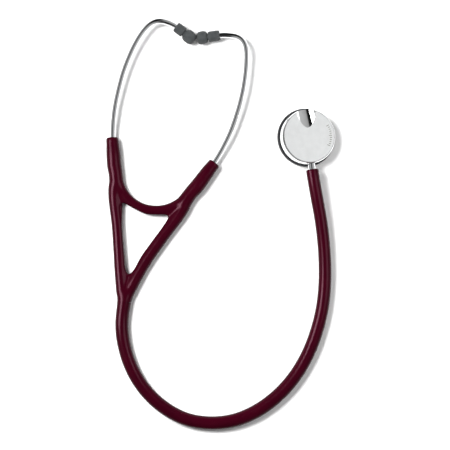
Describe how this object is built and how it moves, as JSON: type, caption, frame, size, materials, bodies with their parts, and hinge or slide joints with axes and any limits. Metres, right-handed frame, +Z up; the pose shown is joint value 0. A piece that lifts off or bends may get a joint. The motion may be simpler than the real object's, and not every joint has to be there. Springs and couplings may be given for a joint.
{
  "type": "stethoscope",
  "caption": "Single-sided stethoscope with sprung ear tubes, soft ear tips, a moulded Y tube and a round metal chestpiece, lying on a table.",
  "frame": {"origin": "on the table, under the middle of the box round the headset and chestpiece without the main tube", "axes": "+Z up from the table, +Y from the tube's bend towards the ear tips, +X from the headset towards the chestpiece"},
  "size_m": [0.1965, 0.3538, 0.0227],
  "materials": {
    "tubing": "glossy burgundy PVC",
    "plated_metal": "polished plating",
    "chestpiece_metal": "fine satin turned face, polished wall and groove",
    "spring_steel": "plain spring steel",
    "soft_tip": "soft grey silicone",
    "hard_core": "dark moulded plastic",
    "rim_ring": "dark smooth rim",
    "surround": "flexible dark ring",
    "diaphragm": "thin stiff ivory laminate"
  },
  "bodies": {
    "frame": {"yoke": "tubing", "main_tube": "tubing", "bridge_spring": "spring_steel"},
    "left_arm": {"left_sleeve": "tubing", "left_spring_clip": "spring_steel", "left_ear_tube": "plated_metal"},
    "right_arm": {"right_sleeve": "tubing", "right_spring_clip": "spring_steel", "right_ear_tube": "plated_metal"},
    "left_tip": {"left_ear_tip": "soft_tip", "left_tip_core": "hard_core"},
    "right_tip": {"right_ear_tip": "soft_tip", "right_tip_core": "hard_core"},
    "chestpiece": {"chestpiece_body": "chestpiece_metal", "stem": "plated_metal", "stem_seal": "surround", "diaphragm_rim": "rim_ring", "diaphragm_surround": "surround"},
    "diaphragm": {"diaphragm": "diaphragm"}
  },
  "joints": [
    {"name": "left_spread", "type": "hinge", "parent": "frame", "child": "left_arm", "pos_m": [-0.0902, -0.025, 0.0059], "axis": [0, 0, 1], "range_deg": [0, 20], "stiffness_Nm_per_rad": 0.25, "springref_deg": -5.73, "deforming": ["bridge_spring"]},
    {"name": "right_spread", "type": "hinge", "parent": "frame", "child": "right_arm", "pos_m": [-0.03, -0.032, 0.0056], "axis": [0, 0, -1], "range_deg": [0, 20], "stiffness_Nm_per_rad": 0.25, "springref_deg": -5.73, "deforming": ["bridge_spring"]},
    {"name": "left_tip_turn", "type": "hinge", "parent": "left_arm", "child": "left_tip", "pos_m": [-0.0388, 0.1154, 0.0094], "axis": [0.7912, -0.6025, -0.1048], "continuous": true},
    {"name": "right_tip_turn", "type": "hinge", "parent": "right_arm", "child": "right_tip", "pos_m": [-0.0011, 0.1082, 0.0079], "axis": [-0.9885, -0.121, -0.0908], "continuous": true},
    {"name": "chestpiece_swivel", "type": "hinge", "parent": "frame", "child": "chestpiece", "pos_m": [0.07827, -0.00852, 0.01306], "axis": [0.1399, -0.9899, 0.0247], "range_deg": [-90, 90]},
    {"name": "diaphragm_press", "type": "slide", "parent": "chestpiece", "child": "diaphragm", "axis": [0.1951, 0.052, 0.9794], "range_m": [0, 0.0005], "stiffness_N_per_m": 5000, "springref_m": -0.0001, "deforming": ["diaphragm_surround"]}
  ],
  "couplings": [
    {"joint": "right_spread", "follows": "left_spread", "ratio": 1}
  ]
}
